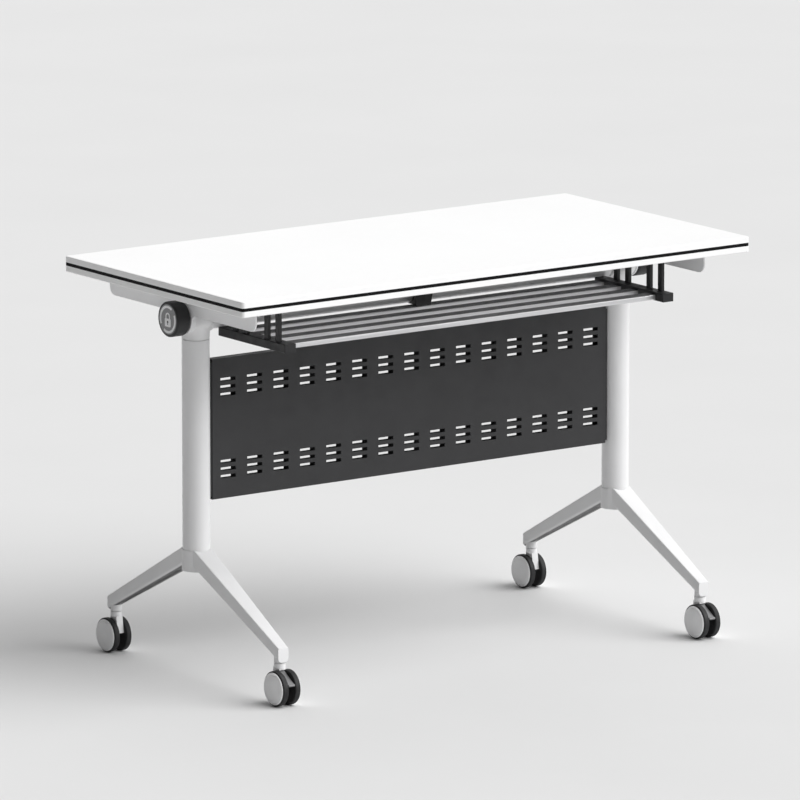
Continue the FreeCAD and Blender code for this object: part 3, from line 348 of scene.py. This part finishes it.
def rounded_box(low, high, radius, steps=6):
    points = []
    for cx, cy, turn in (
        (high[0] - radius, high[1] - radius, 0),
        (low[0] + radius, high[1] - radius, 90),
        (low[0] + radius, low[1] + radius, 180),
        (high[0] - radius, low[1] + radius, 270),
    ):
        for step in range(steps + 1):
            angle = math.radians(turn + 90 * step / steps)
            points.append((cx + radius * math.cos(angle), cy + radius * math.sin(angle)))
    return points


def outer_face(node, sign):
    """Where a node ends along X on the given side, and its middle."""
    low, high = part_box(node)
    return (low.x if sign < 0 else high.x), (low + high) / 2


# Signs on the knob plates: two turn arcs round a lock with a keyhole

ARC_INNER, ARC_OUTER = 0.0208, 0.0252
ARC_START, ARC_END = 58, 206
LOCK_HALF, LOCK_LOW, LOCK_HIGH, LOCK_ROUND = 0.0092, -0.0135, 0.0015, 0.0022
BOW_INNER, BOW_OUTER, BOW_MIDDLE = 0.0042, 0.0070, 0.0055
BOW_LEG_LOW, BOW_LEG_HIGH, BOW_LEG_ROUND = 0.0012, 0.0057, 0.0002
KEY_HALF, KEY_LOW, KEY_HIGH = 0.0021, -0.0066, -0.0024
SLIT_HALF, SLIT_LOW, SLIT_HIGH, SLIT_ROUND = 0.0009, -0.0098, -0.0055, 0.0006
KEY_STEPS = 8
PRINT_LOW, PRINT_HIGH = -0.0002, 0.0004
KEYHOLE_LOW, KEYHOLE_HIGH = 0.0003, 0.00055
# Where two prints cross, one is lower by this much so that their faces don't coincide
LEG_STEP, SLIT_STEP = 0.00002, 0.00001


def knob_sign(side, sign):
    face, middle = outer_face(f"{side}_knob_plate", sign)

    def place(u, v, depth):
        return (face + sign * depth, sign * u, middle.z + v)

    bm = bmesh.new()
    for turn in (0, 180):
        prism(bm, arc(ARC_INNER, ARC_OUTER, ARC_START + turn, ARC_END + turn), place, PRINT_LOW, PRINT_HIGH)
    lock = rounded_box((-LOCK_HALF, LOCK_LOW), (LOCK_HALF, LOCK_HIGH), LOCK_ROUND)
    prism(bm, lock, place, PRINT_LOW, PRINT_HIGH)
    prism(bm, arc(BOW_INNER, BOW_OUTER, 0, 180, (0, BOW_MIDDLE)), place, PRINT_LOW, PRINT_HIGH)
    for near, far in ((-BOW_OUTER, -BOW_INNER), (BOW_INNER, BOW_OUTER)):
        leg = rounded_box((near, BOW_LEG_LOW), (far, BOW_LEG_HIGH), BOW_LEG_ROUND)
        prism(bm, leg, place, PRINT_LOW, PRINT_HIGH - LEG_STEP)
    add_piece(f"{side}_knob_sign", bm, "pale_print", f"{side}_knob")

    bm = bmesh.new()
    key = rounded_box((-KEY_HALF, KEY_LOW), (KEY_HALF, KEY_HIGH), KEY_HALF, KEY_STEPS)
    prism(bm, key, place, KEYHOLE_LOW, KEYHOLE_HIGH)
    slit = rounded_box((-SLIT_HALF, SLIT_LOW), (SLIT_HALF, SLIT_HIGH), SLIT_ROUND)
    prism(bm, slit, place, KEYHOLE_LOW, KEYHOLE_HIGH - SLIT_STEP)
    add_piece(f"{side}_knob_keyhole", bm, "black_plastic", f"{side}_knob")


for side, sign in SIDES:
    knob_sign(side, sign)


# Domed covers on the wheels, with a shallow groove inside their rims, each ring as radius and rise

COVER_RINGS = (
    (0.0290, -0.0004), (0.0288, 0.0004), (0.0280, 0.0008), (0.0270, 0.0008),
    (0.0264, 0.0004), (0.0258, 0.0003), (0.0252, 0.0007),
    (0.0230, 0.0011), (0.0180, 0.0016), (0.0110, 0.0020), (0.0040, 0.0022),
)
COVER_STEPS = 64


def wheel_cover(name, sign):
    face, middle = outer_face(f"{name}_disc", sign)
    angles = [2 * math.pi * step / COVER_STEPS for step in range(COVER_STEPS)]
    bm = bmesh.new()
    loft(bm, [
        [
            (face + sign * rise, middle.y + radius * math.cos(angle), middle.z + radius * math.sin(angle))
            for angle in angles
        ]
        for radius, rise in COVER_RINGS
    ])
    for one in bm.faces:
        one.smooth = len(one.verts) == 4
    add_piece(f"{name}_cover", bm, "disc_plastic", name)


for side, sign in SIDES:
    for end, _ in ENDS:
        wheel_cover(f"{side}_{end}_outer_wheel", sign)
        wheel_cover(f"{side}_{end}_inner_wheel", -sign)


# Ribbed dark strips on the tops of the shelf's slats, their dark colour painted shade for the shadow under
# the desk

SLATS = 4
SLAT_DEEP = 0.028
SHADE_STRIP_END_INSET = 0.0255
SHADE_STRIP_INSET = 0.0016
SHADE_STRIP_RIBS = 9
SHADE_STRIP_LOW, SHADE_STRIP_VALLEY, SHADE_STRIP_CREST = -0.0004, 0.0001, 0.0004
RIB_FOOT, RIB_SHOULDER = 0.08, 0.22


def strip_outline(start, end):
    """Cross section of a strip with flat-topped ribs."""
    points = [(start, SHADE_STRIP_LOW), (end, SHADE_STRIP_LOW)]
    step = (end - start) / SHADE_STRIP_RIBS
    profile = (
        (1 - RIB_FOOT, SHADE_STRIP_VALLEY),
        (1 - RIB_SHOULDER, SHADE_STRIP_CREST),
        (RIB_SHOULDER, SHADE_STRIP_CREST),
        (RIB_FOOT, SHADE_STRIP_VALLEY),
    )
    for rib in reversed(range(SHADE_STRIP_RIBS)):
        points += [(start + (rib + share) * step, rise) for share, rise in profile]
    return points


def lay_shade_strips():
    low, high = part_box("shelf_slats")
    pitch = (high.y - low.y - SLAT_DEEP) / (SLATS - 1)
    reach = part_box("right_shelf_end")[1].x - SHADE_STRIP_END_INSET
    outline = strip_outline(SHADE_STRIP_INSET, SLAT_DEEP - SHADE_STRIP_INSET)
    bm = bmesh.new()
    for slat in range(SLATS):
        front = low.y + slat * pitch
        prism(bm, outline, lambda u, v, depth: (depth, front + u, high.z + v), -reach, reach)
    add_piece("slat_shade_strips", bm, "slat_painted_shade", "top")


lay_shade_strips()


# Black strips in the grooves under the legs, painted shade for the shadow there; each end as reach, height
# and half width

LEG_UNDER = ((0.050, 0.1929, 0.0088), (0.2455, 0.0948, 0.0043))
STRIP_LOW, STRIP_HIGH = 0.0006, 0.003


def leg_shade_strip(side, end, x, way):
    def section(reach, height, half):
        corners = ((-half, STRIP_LOW), (half, STRIP_LOW), (half, STRIP_HIGH), (-half, STRIP_HIGH))
        return [(x + across, way * reach, height + rise) for across, rise in corners]

    bm = bmesh.new()
    loft(bm, [section(*place) for place in LEG_UNDER])
    # Painted shade: the strip is black to stand for the shadow under the leg
    add_piece(f"{side}_{end}_leg_shade_strip", bm, "black_plastic", "frame")


for side, sign in SIDES:
    for end, way in ENDS:
        leg_shade_strip(side, end, sign * COLUMN_X, way)


# Painted shade of the driver recess in each screw and bolt seen from below: thin black plates, not cut
# hollows

RECESS_DEEP, RECESS_PROUD = 0.0003, 0.00004
CROSS_HALF, CROSS_BAR = 0.0026, 0.0006
HEX_RADIUS = 0.0029
ARM_SCREW_IN = 0.030
ARM_SCREWS_Y = (-0.19, -0.06, 0.06, 0.19)
FOOT_SCREW_X = 0.415
FOOT_SCREWS_Y = (-0.197, -0.165, -0.096, -0.064)
SADDLE_SCREW_X = 0.031
LEG_BOLT_Y = 0.017
# The saddle's foot is thicker than the arms and the shelf's feet by this much
SADDLE_FOOT_STEP = 0.001


def plus(half, bar):
    return [
        (half, -bar), (half, bar), (bar, bar), (bar, half), (-bar, half), (-bar, bar),
        (-half, bar), (-half, -bar), (-bar, -bar), (-bar, -half), (bar, -half), (bar, -bar),
    ]


def hexagon(radius):
    angles = [math.radians(60 * corner) for corner in range(6)]
    return [(radius * math.cos(angle), radius * math.sin(angle)) for angle in angles]


# Painted shade: each black plate stands for the shadow inside a driver recess
def recess_shade_plates(name, spots, outline, body):
    bm = bmesh.new()
    for x, y, z in spots:
        prism(bm, outline, lambda u, v, depth: (x + u, y + v, z - depth), -RECESS_DEEP, RECESS_PROUD)
    add_piece(name, bm, "black_plastic", body)


def screw_spots():
    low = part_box("top_screws")[0].z
    arm_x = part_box("right_arm")[1].x - ARM_SCREW_IN
    high = low + SADDLE_FOOT_STEP
    spots = [(x, y, high) for x in (-arm_x, arm_x) for y in ARM_SCREWS_Y]
    spots += [(x, y, high) for x in (-FOOT_SCREW_X, FOOT_SCREW_X) for y in FOOT_SCREWS_Y]
    spots += [(x, 0, low) for x in (-SADDLE_SCREW_X, SADDLE_SCREW_X)]
    return spots


def bolt_spots():
    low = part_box("leg_bolts")[0].z
    return [(x, y, low) for x in (-COLUMN_X, COLUMN_X) for y in (-LEG_BOLT_Y, LEG_BOLT_Y)]


recess_shade_plates("screw_recess_shades", screw_spots(), plus(CROSS_HALF, CROSS_BAR), "top")
recess_shade_plates("bolt_recess_shades", bolt_spots(), hexagon(HEX_RADIUS), "frame")


# Floor

FLOOR_HALF = 40
FLOOR_DROP = 0.0005


def floor():
    corners = [(x * FLOOR_HALF, y * FLOOR_HALF, 0) for x, y in ((-1, -1), (1, -1), (1, 1), (-1, 1))]
    mesh = bpy.data.meshes.new("floor")
    mesh.from_pydata(corners, [], [(0, 1, 2, 3)])
    mesh.materials.append(Paint("studio_floor", grey(0.72), 0.9).vary(2, 0.01).material)
    item = bpy.data.objects.new("floor", mesh)
    item.location.z = -FLOOR_DROP
    scene.collection.objects.link(item)


floor()
